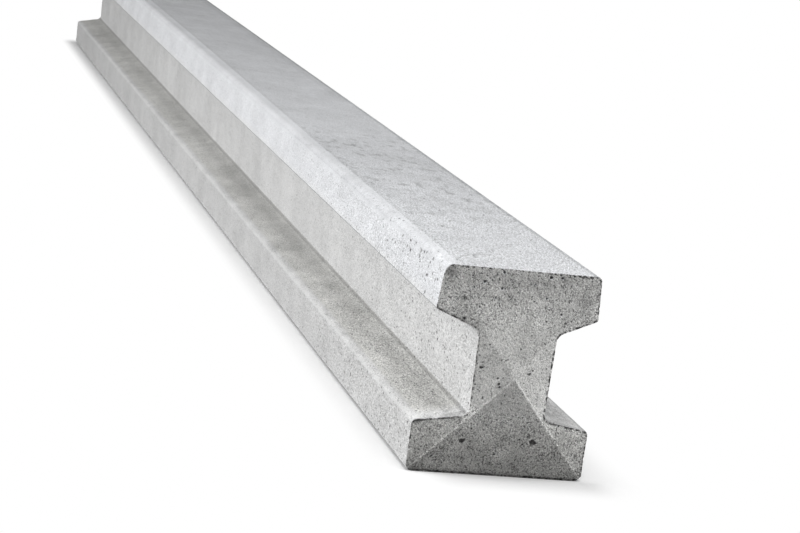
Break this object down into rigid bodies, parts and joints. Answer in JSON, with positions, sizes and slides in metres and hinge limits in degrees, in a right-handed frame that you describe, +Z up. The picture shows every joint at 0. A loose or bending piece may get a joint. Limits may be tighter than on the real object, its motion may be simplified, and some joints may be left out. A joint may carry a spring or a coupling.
{
  "type": "concrete fence post",
  "caption": "Slotted concrete fence post of I-shaped section, with a panel slot along each side and a shallow pyramid top.",
  "frame": {"origin": "on the floor, under the middle of the post's length and width, as it lies on its wider face", "axes": "+X along the post towards its weathered top, +Y across it, +Z up from the wider face to the narrower face"},
  "size_m": [1.75, 0.095, 0.109],
  "materials": {
    "concrete": "matte"
  },
  "bodies": {
    "root": {"post": "concrete"}
  },
  "joints": []
}
